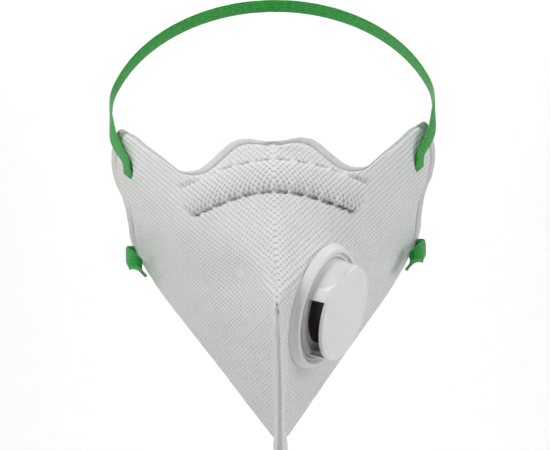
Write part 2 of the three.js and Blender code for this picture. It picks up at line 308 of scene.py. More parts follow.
def moulded(name, color, rough=0.38):
    """Injection-moulded polypropylene with a very fine spark texture."""
    n = Nodes(name)
    spark = noise_at(n, 5200, 2, 0.5)
    cloud = noise_at(n, 90, 2)
    n.link(n.ramp(cloud, [(0.3, tuple(c * 0.965 for c in color)), (0.7, color)]), "Base Color")
    gloss = n.add("MapRange", inputs={"Value": spark, "To Min": rough - 0.06, "To Max": rough + 0.1})
    n.link(gloss.outputs[0], "Roughness")
    n.link(n.bump(spark, 0.12, 0.00006), "Normal")
    n.set(Specular_IOR_Level=0.45, Subsurface_Weight=0.1, Subsurface_Scale=0.0015)
    return n.m


def rubbery(name, color):
    """Silicone with a fine grain."""
    n = Nodes(name)
    grain = noise_at(n, 700, 3, 0.6)
    n.link(n.ramp(grain, [(0.3, tuple(c * 0.75 for c in color)), (0.7, color)]), "Base Color")
    n.link(n.add("MapRange", inputs={"Value": grain, "To Min": 0.35, "To Max": 0.55}).outputs[0], "Roughness")
    n.link(n.bump(grain, 0.15, 0.0001), "Normal")
    return n.m


def soft_foam(name, color):
    """Open-celled foam, with painted shade darkening the hollow of each cell."""
    n = Nodes(name)
    c = n.add("TexCoord").outputs["Object"]
    cells = n.add("TexVoronoi", inputs={"Vector": c, "Scale": 1500}).outputs["Distance"]
    # painted shade: the colour darkens towards each cell's middle, where the bump is lowest
    n.link(n.ramp(cells, [(0.0, tuple(v * 0.78 for v in color)), (0.45, color)]), "Base Color")
    n.link(n.bump(cells, 0.7, 0.0003), "Normal")
    n.set(Roughness=0.95, Sheen_Weight=0.2)
    return n.m


def metal_strip(name):
    """Soft metal, brushed along its length."""
    n = Nodes(name)
    c = n.add("TexCoord").outputs["Object"]
    drawn_out = n.add("Mapping", inputs={"Vector": c, "Scale": (40, 900, 900)}).outputs[0]
    brushed = n.add("TexNoise", inputs={"Vector": drawn_out, "Scale": 3}).outputs[0]
    n.link(n.ramp(brushed, [(0.3, (0.52, 0.53, 0.55)), (0.7, (0.72, 0.73, 0.75))]), "Base Color")
    gloss = n.add("MapRange", inputs={"Value": brushed, "To Min": 0.25, "To Max": 0.45})
    n.link(gloss.outputs[0], "Roughness")
    n.set(Metallic=1.0)
    return n.m


RIB_STEP, YARN_STEP = 0.95, 0.8  # across and along the elastic


def braided(name):
    """Green knitted elastic: lengthwise ribs, a fine herring of yarn, a heathered colour, and painted shade
    in the grooves between the ribs.
    """
    n = Nodes(name)
    uv = n.add("UVMap", uv_map="flat").outputs[0]
    xyz = n.add("SeparateXYZ", inputs={0: uv})
    along, across = xyz.outputs[0], xyz.outputs[1]
    rib = n.math("COSINE", n.math("MULTIPLY", across, 2 * math.pi / RIB_STEP))
    slanted = n.math("ADD", along, n.math("MULTIPLY", rib, 0.25))
    yarn = n.math("SINE", n.math("MULTIPLY", slanted, 2 * math.pi / YARN_STEP))
    stretch = n.add("CombineXYZ", inputs={
        0: n.math("MULTIPLY", along, 0.35), 1: n.math("MULTIPLY", across, 2.2)}).outputs[0]
    heather = noise_at(n, 1.3, 4, 0.7, coords=stretch)
    greens = [(0.32, (0.006, 0.19, 0.02)), (0.5, (0.02, 0.46, 0.055)), (0.7, (0.16, 0.68, 0.16))]
    col = n.ramp(heather, greens)
    # painted shade: darker in the grooves between the ribs, where the bump is lowest
    groove_shade = n.ramp(rib, [(0.0, (0.72,) * 3), (0.6, (1, 1, 1))])
    n.link(multiplied(n, col, groove_shade), "Base Color")
    h = n.math("ADD", n.math("MULTIPLY", rib, 0.7), n.math("MULTIPLY", yarn, 0.3))
    n.link(n.bump(h, 0.7, 0.00022), "Normal")
    n.set(Roughness=0.8, Sheen_Weight=0.35, Sheen_Roughness=0.4, Specular_IOR_Level=0.3)
    return n.m


def materials():
    white = (0.865, 0.855, 0.85)
    return {
        "cover": embossed("cover", white),
        "band": embossed("band", white, dots=1.25),
        "filter": embossed("filter", (0.86, 0.86, 0.85), dots=0.0),
        "lining": embossed("lining", (0.84, 0.84, 0.83), dots=0.35),
        # painted shade: the weld's grey, darker than the cloth, stands in for the shade along the hem's edge
        "weld": pressed("weld", (0.70, 0.695, 0.685)),
        "fin": pressed("fin", (0.84, 0.835, 0.825)),
        "plastic": moulded("plastic", (0.86, 0.865, 0.855)),
        "silicone": rubbery("silicone", (0.030, 0.018, 0.013)),
        "foam": soft_foam("foam", (0.70, 0.71, 0.70)),
        "metal": metal_strip("metal"),
        "elastic": braided("elastic"),
    }


# ---------- the fabric's surface ----------
def soft_max(a, b, k):
    return np.maximum(a, b) + np.maximum(k - np.abs(a - b), 0) ** 2 / (4 * k)


RIDGE_R, RIDGE_WIDENS, RIDGE_LONG = 2.0, 4.5, 58  # rounding of the ridge, tighter at the beak
CHEEK_CURL, WING_X = 7, 66  # how far the cheek comes forward of its plane, and at what x
NOSE_CURL, NOSE_X = 3, 40


def outer_y(x, z, s):
    """y of the outer cover's face over (|x|, z); s is +1 on the valve side."""
    x = np.abs(x)
    h = z - BEAK[2]
    up = np.clip(h / RIDGE_LONG, 0, 1)
    ridge_r = RIDGE_R + RIDGE_WIDENS * up
    xn = np.sqrt(x**2 + ridge_r**2)
    yn = BEAK[1] + (NOSE_N[0] * xn + NOSE_N[2] * h - FABRIC_T) / -NOSE_N[1]
    yc = BEAK[1] + (CHEEK_N[0] * x + CHEEK_N[2] * h - FABRIC_T) / -CHEEK_N[1]
    yc = yc - CHEEK_CURL * (x / WING_X) ** 2
    yn = yn - NOSE_CURL * (x / NOSE_X) ** 2
    r = np.sqrt(x**2 + h**2)
    k = 3.0 + 0.48 * r
    if s > 0:
        to_valve = np.hypot(x - VALVE_BASE[0], z - VALVE_BASE[2])
        k = k * (0.35 + 0.65 * smooth((to_valve - 18) / 22))
    return soft_max(yn, yc, k)


def surface(x, z, s, d=0.0):
    """A point of the cover and its outward normal, d millimetres along it."""
    e = 0.25
    y = outer_y(x, z, s)
    nx = (outer_y(np.abs(x) + e, z, s) - outer_y(np.abs(np.abs(x) - e), z, s)) / (2 * e)
    nx = np.where(np.abs(x) < e, 0, nx)
    nz = (outer_y(x, z + e, s) - outer_y(x, z - e, s)) / (2 * e)
    n = np.stack([nx * s, -np.ones_like(nx), nz], -1)
    n /= np.linalg.norm(n, axis=-1, keepdims=True)
    p = np.stack([np.abs(x) * s, y, z], -1)
    return p + n * np.asarray(d)[..., None], n


def flat_uv(p, s):
    """Place of a point in the flat sheet the mask is folded from: along the ridge, and across it."""
    q = (p - BEAK) * [s, 1, 1]
    across_n = pointing(np.cross(RIDGE, NOSE_N), 0, 1)
    un, vn = q @ RIDGE, q @ across_n
    across_c = pointing(np.cross(BEND, CHEEK_N), 2, -1)
    uc, vc = q @ BEND, q @ across_c
    ang = math.acos(float(RIDGE @ BEND))
    u2 = uc * math.cos(ang) - vc * math.sin(ang)
    v2 = uc * math.sin(ang) + vc * math.cos(ang)
    w = smooth(0.5 + vc / 12)
    return np.stack([un * (1 - w) + u2 * w, vn * (1 - w) + v2 * w], -1)


ROWS, INNER_COLS = 260, 50
# distances from the edge of the last columns, close together over the weld
EDGE_STEPS = np.array([7, 6.2, 5.4, 4.8, 4.3, 3.9, 3.5, 3.15, 2.85, 2.6, 2.35, 2.1, 1.9])


def outline_line():
    """The outline at ROWS equal steps; its last value is the place in OUTLINE."""
    pts = np.array(OUTLINE, float)
    index = np.arange(len(pts))[:, None]
    dense = catmull(np.hstack([pts, index]), 12)
    return resample(dense, ROWS)


LINE = outline_line()


def hem_scale(index):
    """The hem narrows from full width on the upper and rear edges to a third along the lower edge."""
    return 1 - 0.62 * smooth((index - CHIN_EDGE_FROM) / 2.5)


def half_grid():
    """x and z of the cover's grid, rows from the nose notch to the chin, columns outwards."""
    xs, zs, ws = [], [], []
    for x, z, zc, index in LINE:
        a, b = np.array([0.0, zc]), np.array([x, z])
        length = np.linalg.norm(b - a)
        scale = hem_scale(index) * min(1, length / 16)
        edge = EDGE_STEPS * scale
        inner = np.linspace(0, 1, INNER_COLS) ** 0.9 * (length - edge[0])
        at = np.r_[inner[:-1], length - edge]
        p = a + (b - a) * (at / max(length, 1e-6))[:, None]
        xs.append(p[:, 0])
        zs.append(p[:, 1])
        ws.append((length - at) / hem_scale(index))
    return np.array(xs), np.array(zs), np.array(ws)


def nearest(points, line):
    """Distance from each point to a polyline in the plane, and the place along it."""
    best = np.full(points.shape[:-1], 1e9)
    where = np.zeros(points.shape[:-1])
    run = 0.0
    for a, b in zip(line[:-1], line[1:]):
        d = b - a
        length = np.hypot(*d)
        t = np.clip(((points - a) @ d) / (length**2), 0, 1)
        dist = np.linalg.norm(points - a - t[..., None] * d, axis=-1)
        hit = dist < best
        best = np.where(hit, dist, best)
        where = np.where(hit, run + t * length, where)
        run += length
    return best, where


# nose band: its middle line in the front view, and its half width there
BAND_MIDDLE = 20
BAND_LINE = catmull([(-14, 19.0), (0, BAND_MIDDLE), (14, 18.2), (26, 14.4), (37.2, 9.6)], 14)
BAND_HALF = 6.1
# half widths, and heights over the cover's smooth face
BAND_HEIGHTS = (-0.4, 3.2)
CLIP_HALF, CLIP_HEIGHTS = 2.4, (-0.15, 0.55)
FOAM_HALF, FOAM_HEIGHTS = 6.0, (-3.0, -7.2)
TABS = [0, 7.4, 14.2, 21, 28]  # welded bridges, by distance from the ridge


def band_distance(x, z):
    """Across-distance from the band's middle, and distance along it from the ridge."""
    pts = np.stack([np.abs(x), z], -1)
    d, at = nearest(pts, BAND_LINE)
    start = nearest(np.array([[0.0, BAND_MIDDLE]]), BAND_LINE)[1][0]
    return d, at - start


def tab_weight(at):
    """1 on a welded bridge, 0 between two."""
    w = np.zeros_like(at)
    for t in TABS:
        w = np.maximum(w, 1 - smooth((np.abs(at - t) - 0.5) / 0.8))
    return w


DENT_AT, DENT_R, DENT_DEPTH = (17, -19), 12.0, 3.3  # a soft hollow in the cheek without the valve


def relief(x, z, w, s):
    """Height of the cover over its smooth surface: hem groove, band groove, and the cloth's own waves."""
    d = -1.5 * (1 - smooth((w - 3.2) / 3.2))
    d = d - 1.1 * (1 - smooth((w - 2.7) / 0.6))
    dist, at = band_distance(x, z)
    ring = 1 - smooth((np.abs(dist - BAND_HALF - 0.3) - 0.2) / 1.0)
    inside = smooth((38.5 - at) / 2)
    d = d - 1.7 * ring * (1 - tab_weight(at)) * inside
    wave = np.vectorize(lambda a, b: noise.noise(Vector((a * 0.035 + 7 * s, b * 0.035, 0.4))))(x, z)
    fine = np.vectorize(lambda a, b: noise.noise(Vector((a * 0.11, b * 0.11, 3.1 * s))))(x, z)
    calm = smooth((w - 3) / 8) * smooth(np.abs(x) / 12)
    if s < 0:
        d = d - DENT_DEPTH * np.exp(-((x - DENT_AT[0]) ** 2 + (z - DENT_AT[1]) ** 2) / DENT_R**2)
    if s > 0:
        calm = calm * smooth((np.hypot(x - VALVE_BASE[0], z - VALVE_BASE[2]) - 16) / 14)
    return d + calm * (0.9 * wave + 0.22 * fine)


def bend_side(p, s):
    """Distance of a point below the cheek bend, negative on the nose panel's side."""
    return ((p - BEAK) * [s, 1, 1]) @ BELOW_BEND


NOSE_STRIP = 12.0  # width of the strip along the ridge that belongs to the nose panel's pieces


def split_faces(verts, faces, s):
    """Faces of the nose panel's strip by the ridge, and all the others."""
    centre = verts[np.array(faces)].mean(axis=1)
    nose = (np.abs(centre[:, 0]) < NOSE_STRIP) & (bend_side(centre, s) < -2.0)
    return [f for f, n in zip(faces, nose) if n], [f for f, n in zip(faces, nose) if not n]


def keep_used(verts, faces, *extra):
    """The points that the faces use, the faces renumbered, and the same points' other values."""
    used = sorted({i for f in faces for i in f})
    new = {o: i for i, o in enumerate(used)}
    return verts[used], [tuple(new[i] for i in f) for f in faces], *[e[used] for e in extra]


def follow(ob, part):
    """Bakes a piece of fabric's placement into its mesh, nose and cheek pieces alike."""
    if part == "nose":
        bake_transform(ob)
        return
    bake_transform(ob)


def with_normals(ob, normals):
    """Keeps the shading continuous over the seam between two pieces of one sheet."""
    ob.data.normals_split_custom_set_from_vertices([tuple(n) for n in normals])


def both_faces(front, size):
    """Front faces, the same faces on the underside, and the cut edge that joins them."""
    front = [tuple(int(i) for i in f) for f in front]
    edges = {(a, b) for f in front for a, b in zip(f, f[1:] + f[:1])}
    back = [tuple(i + size for i in reversed(f)) for f in front]
    return front + back + [(b, a, a + size, b + size) for a, b in edges if (b, a) not in edges]


def layer(word, name, node_stem, mats, depth, thick, trim, hole):
    """One sheet of a half: a closed shell, depth below the cover's face, cut back by trim columns."""
    s = SIDES[word]
    x, z, w = half_grid()
    if trim:
        x, z, w = x[:, :-trim], z[:, :-trim], w[:, :-trim]
    rows, cols = x.shape
    rel = relief(x, z, w, s) if depth == 0 else 0.75 * relief(x, z, w, s)
    shift = 0.8 if name != "cover" else 0.0
    xx = np.maximum(x, 0.0)
    top, n = surface(xx, z, s, rel - depth)
    under, _ = surface(xx, z, s, rel - depth - thick)
    # at the chin seam the sheet turns out along the fin
    turn = (1 - smooth((x - 0.2) / 2.2)) * smooth((BEAK[2] - 1 - z) / 6)
    for p in (top, under):
        p[..., 0] += s * (0.8 + 0.15 * shift) * turn
        p[..., 1] -= 0.8 * turn
    verts = np.vstack([top.reshape(-1, 3), under.reshape(-1, 3)])
    uv = np.vstack([flat_uv(top.reshape(-1, 3), s)] * 2)
    front = grid_faces(rows, cols, 0, flip=s > 0)
    size = rows * cols
    if hole:
        inside = hole(verts[np.array(front)].mean(axis=1))
        front = [f for f, out in zip(front, inside) if not out]
    grid_n = np.gradient(top, axis=0), np.gradient(top, axis=1)
    vn = np.cross(grid_n[0], grid_n[1])
    vn /= np.maximum(np.linalg.norm(vn, axis=-1, keepdims=True), 1e-9)
    vn *= np.where((vn * n).sum(-1, keepdims=True) < 0, -1, 1)
    flat_n = vn.reshape(-1, 3)
    normals = np.vstack([flat_n, -flat_n])
    for part, chosen in zip(("nose", "cheek"), split_faces(verts, front, s)):
        v, f, u, nn = keep_used(verts, both_faces(chosen, size), uv, normals)
        ob = make(f"{name}_{part}_{word}", v, f, mats, uv=u)
        with_normals(ob, nn)
        follow(ob, part)
        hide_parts(f"{node_stem}_{part}_{word}")


def in_valve_hole(centre):
    """Whether each point is in the opening that the valve's neck goes through."""
    q = centre - VALVE_BASE
    flat = q - np.outer(q @ VALVE_N, VALVE_N)
    return (np.linalg.norm(flat, axis=1) < HOLE_R) & (np.abs(q @ VALVE_N) < 6)


def hem(word, mats):
    """The trimmed edge beyond the weld groove: a thin closed band round the whole outline."""
    s = SIDES[word]
    across = np.array([2.9, 2.4, 1.6, 0.8, 0.25, 0.0])
    lift = np.array([-1.75, -1.25, -0.95, -0.95, -1.05, -1.35])
    low = np.array([-2.4, -2.35, -2.3, -2.25, -2.1, -1.75])
    prof_w = np.r_[across, across[::-1]]
    prof_d = np.r_[lift, low[::-1]]
    xs, zs, ds = [], [], []
    for i, (x, z, zc, index) in enumerate(LINE):
        length = math.hypot(x, z - zc)
        scale = hem_scale(index) * min(1, length / 10)
        u = np.array([x, z - zc]) / max(length, 1e-6) if length > 0.5 else np.array([0.0, 1.0])
        wob = 1 + 0.10 * noise.noise(Vector((i * 0.23, 2.0 * s, 0)))
        p = np.array([x, z]) - u * (prof_w * scale)[:, None] * wob
        xs.append(p[:, 0])
        zs.append(p[:, 1])
        ds.append(prof_d + 0.18 * noise.noise(Vector((i * 0.31, 5.0 * s, 1))))
    x, z, d = np.array(xs), np.array(zs), np.array(ds)
    verts, _ = surface(np.maximum(x, 0), z, s, d)
    rows, cols = x.shape
    flat = verts.reshape(-1, 3)
    faces = grid_faces(rows, cols, 0, flip=s > 0, wrap=True)
    uv = flat_uv(flat, s)
    for part, chosen in zip(("nose", "cheek"), split_faces(flat, faces, s)):
        v, f, u = keep_used(flat, chosen, uv)
        ob = make(f"edge_{part}_{word}", v, f, mats, uv=u)
        follow(ob, part)
        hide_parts(f"hem_{part}_{word}")


# ---------- nose pieces ----------
def strip_on_nose(word, line, half, heights, name, mats, rows=150, power=4.0, end_round=3.0, tabs=False):
    """A strip along line on a nose panel, its section a flat-topped arch between two heights."""
    s = SIDES[word]
    start = int(np.argmin(np.abs(line[:, 0])))
    mid = resample(line[start:], rows)
    tangent = np.gradient(mid, axis=0)
    tangent /= np.linalg.norm(tangent, axis=1, keepdims=True)
    side = np.stack([-tangent[:, 1], tangent[:, 0]], -1)
    side[0] = (0, 1)
    run = lengths_along(mid)
    q = np.sin(np.linspace(-math.pi / 2, math.pi / 2, 23))
    low, high = heights
    xs, zs, hs = [], [], []
    for m, n2, r in zip(mid, side, run):
        rest = run[-1] - r
        end = math.sqrt(max(0.0, 1 - max(0.0, 1 - rest / end_round) ** 2))
        width = half * (0.55 + 0.45 * end)
        if tabs:
            t = float(tab_weight(np.array([r]))[0])
            width = width + 0.9 * t * (rest > 6)
        p = m + np.outer(q * width, n2)
        arch = (1 - np.abs(q) ** power) ** 0.6
        xs.append(np.maximum(p[:, 0], 0))
        zs.append(p[:, 1])
        hs.append(low + (high - low) * arch * (0.25 + 0.75 * end))
    x, z, h = np.array(xs), np.array(zs), np.array(hs)
    top, _ = surface(x, z, s, h)
    bottom, _ = surface(x, z, s, np.full_like(h, low))
    rows, cols = x.shape
    size = rows * cols
    verts = np.vstack([top.reshape(-1, 3), bottom.reshape(-1, 3)])
    uv = np.vstack([flat_uv(top.reshape(-1, 3), s)] * 2)
    faces = grid_faces(rows, cols, 0, flip=s < 0) + grid_faces(rows, cols, size, flip=s > 0)
    for i in range(rows - 1):
        for j in (0, cols - 1):
            a, b = i * cols + j, (i + 1) * cols + j
            faces.append((a, b, b + size, a + size))
    last = (rows - 1) * cols
    faces += [(last + j, last + j + 1, last + j + 1 + size, last + j + size) for j in range(cols - 1)]
    ob = make(f"{name}_{word}", verts, faces, mats, uv=uv)
    follow(ob, "nose")
    return ob


def nose_pieces(mats):
    for word in SIDES:
        band = strip_on_nose(word, BAND_LINE, BAND_HALF, BAND_HEIGHTS, "nose_band", mats["band"],
                             power=2.8, tabs=True)
        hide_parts("nose_pocket")
        clip = strip_on_nose(word, BAND_LINE[:-6], CLIP_HALF, CLIP_HEIGHTS, "nose_strip", mats["metal"],
                             power=12)
        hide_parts("nose_clip")
        foam = strip_on_nose(word, BAND_LINE[:-4], FOAM_HALF, FOAM_HEIGHTS, "nose_cushion", mats["foam"],
                             power=3.0)
        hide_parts("nose_foam")


# ---------- chin seam ----------
# forward reach and half width; the waist is the line of the weld
FIN_SECTION = [
    (-1.2, 1.5), (0.2, 1.25), (0.9, 0.95), (1.6, 0.9), (2.2, 0.62), (2.8, 0.62), (3.4, 0.9), (4.3, 0.85),
    (4.7, 0.45),
]
FIN_START, FIN_TAIL = 1.5, 3.2  # below the beak, and past the chin


def chin_fin(mats):
    """Two panel edges welded face to face, standing out along the seam, with a small tail."""
    down = unit(CHIN - BEAK)
    forward = pointing(np.cross(down, [1, 0, 0]), 1, -1)
    length = np.linalg.norm(CHIN - BEAK)
    rows = 90
    ring = FIN_SECTION + [(f, -w) for f, w in reversed(FIN_SECTION)]
    verts, uv = [], []
    for i in range(rows):
        t = i / (rows - 1)
        u = FIN_START + t * (length + FIN_TAIL - FIN_START)
        grow = 0.25 + 0.75 * smooth(u / 13)
        thin = 1 - 0.2 * smooth((u - length + 6) / 9)
        flare = 1.25 + 0.55 * smooth((u - length + 10) / 9)
        wob = 0.25 * noise.noise(Vector((u * 0.12, 0, 9)))
        for f, w in ring:
            reach = (FABRIC_T + 1.2) + f * grow * thin * 0.95
            lean = 0.35 * math.sin(u * 0.06) * max(0, f) / 4.5
            sideways = w * flare * (0.8 + 0.3 * t) + wob * f / 4 + lean
            verts.append(BEAK + down * u + forward * reach + np.array([sideways, 0, 0]))
            uv.append((u, f))
    cols = len(ring)
    faces = grid_faces(rows, cols, 0, wrap=True)
    faces.append(tuple(range(cols))[::-1])
    faces.append(tuple((rows - 1) * cols + j for j in range(cols)))
    ob = make("chin_fin", np.array(verts), faces, mats["fin"], uv=np.array(uv))
    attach(ob, "chin")
    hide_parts("chin_seam")


# ---------- valve ----------
def on_valve(points):
    """Points given across, up and out from the middle of the valve's foot."""
    across, up, out = np.asarray(points, float).T
    return VALVE_BASE + np.outer(across, FLAP_RIGHT) + np.outer(up, VALVE_UP) + np.outer(out, VALVE_N)


def turned(name, profile, material, body=None, segments=128):
    """A closed ring turned about the valve's axis from a profile of radius and height."""
    prof = np.array(profile, float)
    ang = np.linspace(0, 2 * math.pi, segments, endpoint=False)
    verts = [(r * math.cos(a), r * math.sin(a), h) for r, h in prof for a in ang]
    rows = len(prof)
    faces = []
    for i in range(rows):
        for j in range(segments):
            k, after = (j + 1) % segments, (i + 1) % rows
            faces.append((i * segments + j, i * segments + k, after * segments + k, after * segments + j))
    ob = make(name, on_valve(verts), faces, material)
    if body:
        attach(ob, body)
    return ob


def rounded(points, radius, steps=4):
    """A closed profile with its corners rounded."""
    p = np.array(points, float)
    out = []
    for i in range(len(p)):
        a, b, c = p[i - 1], p[i], p[(i + 1) % len(p)]
        ra = min(radius, np.linalg.norm(a - b) * 0.45)
        rc = min(radius, np.linalg.norm(c - b) * 0.45)
        s, e = b + unit(a - b) * ra, b + unit(c - b) * rc
        for t in np.linspace(0, 1, steps):
            out.append((1 - t) ** 2 * s + 2 * t * (1 - t) * b + t * t * e)
    return out


def finish_normals(ob, angle=35):
    """Outward faces, shaded smooth except over edges sharper than the angle in degrees."""
    ob.data.update()
    bpy.context.view_layer.objects.active = ob
    ob.select_set(True)
    bpy.ops.object.mode_set(mode="EDIT")
    bpy.ops.mesh.select_all(action="SELECT")
    bpy.ops.mesh.normals_make_consistent(inside=False)
    bpy.ops.object.mode_set(mode="OBJECT")
    bpy.ops.object.shade_smooth_by_angle(angle=math.radians(angle))
    ob.select_set(False)


def outward(ob):
    """Turns every face of a closed mesh outwards."""
    bm = bmesh.new()
    bm.from_mesh(ob.data)
    bmesh.ops.recalc_face_normals(bm, faces=bm.faces)
    bm.to_mesh(ob.data)
    bm.free()


def boolean(target, tools, op="DIFFERENCE"):
    """Cuts the tools from the target, or joins them to it, and removes them."""
    for ob in (target, *tools):
        outward(ob)
    for tool in tools:
        m = target.modifiers.new("cut", "BOOLEAN")
        m.operation = op
        m.object = tool
        m.solver = "EXACT"
    bpy.context.view_layer.update()
    dg = bpy.context.evaluated_depsgraph_get()
    me = bpy.data.meshes.new_from_object(target.evaluated_get(dg))
    target.modifiers.clear()
    old = target.data
    target.data = me
    bpy.data.meshes.remove(old)
    for tool in tools:
        bpy.data.objects.remove(tool)


def block(name, centre, size, material):
    """A box on the valve's own axes."""
    cx, cy, cz = centre
    hx, hy, hz = (c / 2 for c in size)
    v = [(cx + i * hx, cy + j * hy, cz + k * hz) for i in (-1, 1) for j in (-1, 1) for k in (-1, 1)]
    f = [(0, 1, 3, 2), (4, 6, 7, 5), (0, 4, 5, 1), (2, 3, 7, 6), (0, 2, 6, 4), (1, 5, 7, 3)]
    return make(name, on_valve(v), f, material, smooth_faces=False)


CHORD = 13.0  # the face ends here, above the valve's middle
CAP_R, CAP_FOOT_R, CAP_T = 19.6, 20.3, 1.1
CAP_FOOT = 1.35  # height of the cap's lower edge
HOOD = [
    (20.15, 2.2), (19.9, 4.0), (19.3, 5.7), (18.3, 7.1), (16.9, 8.3), (15.2, 9.1), (13.2, 9.5), (10, 9.7),
    (0.04, 9.7),
]
ROOM_END, ROOM_HIGH, ROOM_LOW = 11, 9.7, 4.5  # the room under the face, and how low it is past its end
WINDOW_HALF, WINDOW_LOW, WINDOW_HIGH, WINDOW_DEEP, WINDOW_UP = 13.0, 2.9, 9.5, 12, -1.2
BIG = 60  # a cutting block reaches this far across


def drum(material):
    """The cap's straight part: a low cone with a rolled upper rim."""
    r, top = CAP_R, CAP_H
    prof = [(0.05, CAP_FOOT), (CAP_FOOT_R, CAP_FOOT), (r + 0.15, top - 1.4), (r, top - 0.7)]
    prof += [(r - 0.25, top - 0.25), (r - 0.8, top), (0.05, top)]
    return turned("valve_cover", prof, material, segments=96)


def hood(material):
    """The cap's dome over the chord, lower than the face."""
    foot = CAP_FOOT - 0.05
    ob = turned("hood", [(0.04, foot), (CAP_FOOT_R - 0.05, foot)] + HOOD, material, segments=96)
    boolean(ob, [block("below", (0, CHORD - 1.2 - 20, 5), (BIG, 40, 30), material)])
    return ob


def hollows(material):
    """The room inside the cap: high under the face, low under the dome."""
    r = CAP_R - CAP_T - 0.4
    tall = [(0.02, 0), (r, 0), (r - 0.2, 9), (17.2, ROOM_HIGH), (0.02, ROOM_HIGH)]
    high = turned("high", tall, material, segments=72)
    boolean(high, [block("past", (0, ROOM_END + 20, 5), (BIG, 40, 30), material)])
    short = [(0.03, 0.1), (17.2, 0.1), (17.0, ROOM_LOW), (0.03, ROOM_LOW + 0.1)]
    return [high, turned("low", short, material, segments=72)]


def scoop(material):
    """What is taken off the drum over the chord: the face ends in a bevel, and then drops."""
    prof = [(CHORD, 14), (CHORD, CAP_H), (CHORD + 2.2, 9.2), (CHORD + 2.5, 1.2), (26, 1.2), (26, 14)]
    rows, cols = 33, len(prof)
    verts = [(u, v, h) for u in np.linspace(-24, 24, rows) for v, h in prof]
    faces = grid_faces(rows, cols, 0, wrap=True)
    faces += [tuple(range(cols))[::-1], tuple((rows - 1) * cols + k for k in range(cols))]
    return make("scoop", on_valve(verts), faces, material, smooth_faces=False)


def valve_cap(mats):
    """The cap: drum up to the chord, hood over it, both hollow, with a window at each side."""
    m = mats["plastic"]
    cap = drum(m)
    boolean(cap, [scoop(m)])
    boolean(cap, [hood(m)], "UNION")
    boolean(cap, hollows(m))
    high = WINDOW_HIGH - WINDOW_LOW
    size = (WINDOW_DEEP, 2 * WINDOW_HALF, high)
    places = [(s * (CAP_R - 1.5), WINDOW_UP, WINDOW_LOW + high / 2) for s in (-1, 1)]
    boolean(cap, [block("window", place, size, m) for place in places])
    finish_normals(cap, 18)
    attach(cap, "cheek_right")
    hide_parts("valve_cap")


VALVE_FOOT = -(FABRIC_T + 0.3) - 1.8  # height of the neck's lower end
NECK_IN, NECK_OUT = 13.6, 15.8
LIP = [
    (25.8, -0.25), (25.7, 0.2), (25.2, 0.9), (24.7, 1.8), (24.35, 2.7), (23.9, 3.2), (23.4, 3.35),
    (22.9, 3.2), (22.6, 2.7), (22.45, 1.9),
]
BED = [
    (22.2, 1.7), (21.9, 2.2), (21.2, 2.3), (20.8, 1.6), (20.5, 1.0), (16.2, 1.2), (16.2, 1.9),
    (NECK_IN, 1.9),
]
BAR_LONG, BAR_W = 28, 1.6
RING_IN, RING_OUT = 16.2, 19.2


def valve_base(mats):
    """Neck through the fabric, flange with its raised lip, and a cross of bars under the flap."""
    neck = [(NECK_IN, VALVE_FOOT), (NECK_OUT, VALVE_FOOT), (NECK_OUT, -0.25)]
    base = turned("valve_body", neck + LIP + BED, mats["plastic"], segments=120)
    sizes = [(BAR_LONG, BAR_W, BAR_W), (BAR_W, BAR_LONG, BAR_W)]
    boolean(base, [block("bar", (0, 0, 0.4), size, mats["plastic"]) for size in sizes], "UNION")
    finish_normals(base, 40)
    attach(base, "cheek_right")
    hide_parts("valve_base")


def valve_inside(mats):
    """The clamping ring behind the fabric, and the flap."""
    low, high = VALVE_FOOT + 0.3, VALVE_FOOT + 1.5
    clamp = [(RING_IN, low), (RING_OUT, low), (RING_OUT, high), (RING_IN, high)]
    ring = turned("valve_clamp", rounded(clamp, 0.4), mats["plastic"], "cheek_right")
    finish_normals(ring)
    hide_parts("valve_ring")
    disc = [(0.05, 2.1), (14.5, 2.1), (14.5, 2.5), (0.05, 2.6)]
    flap = turned("valve_membrane", rounded(disc, 0.12), mats["silicone"], "flap")
    finish_normals(flap)
    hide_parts("valve_flap")


# ---------- elastic ----------
STRAP_W, STRAP_T = 7.6, 1.1
STRAP_KEEP = 0.1  # share of a strap's sideways spread that is left when the mask is folded


def ribbon(name, centre, wide, material):
    """A flat band along centre; wide gives the direction of its width at each point."""
    c = np.array(centre, float)
    n = len(c)
    tangent = np.gradient(c, axis=0)
    tangent /= np.linalg.norm(tangent, axis=1, keepdims=True)
    wv = np.array(wide, float)
    wv -= (wv * tangent).sum(1, keepdims=True) * tangent
    wv /= np.linalg.norm(wv, axis=1, keepdims=True)
    nv = np.cross(tangent, wv)
    half, t = STRAP_W / 2, STRAP_T / 2
    a = np.linspace(-1, 1, 9)
    bow = 0.10 * (1 - a**2)
    ring = [(p * half, t * (1 - 0.75 * abs(p) ** 6) + b) for p, b in zip(a, bow)]
    ring += [(p * half, -t * (1 - 0.75 * abs(p) ** 6) + b) for p, b in zip(a[::-1], bow[::-1])]
    run = lengths_along(c)
    verts, uv = [], []
    for i in range(n):
        for across, up in ring:
            verts.append(c[i] + wv[i] * across + nv[i] * up)
            uv.append((run[i], across))
    cols = len(ring)
    faces = grid_faces(n, cols, 0, wrap=True)
    faces.append(tuple(range(cols))[::-1])
    faces.append(tuple((n - 1) * cols + j for j in range(cols)))
    ob = make(name, np.array(verts), faces, material, uv=np.array(uv))
    finish_normals(ob, 60)
    return ob


def flipped(points, s):
    """The same points on side s."""
    return np.array(points, float) * [s, 1, 1]


def finish_strap(ob, s, body, slot_at):
    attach(ob, body)
    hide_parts(body)
    fold_strap(ob, s, slot_at)


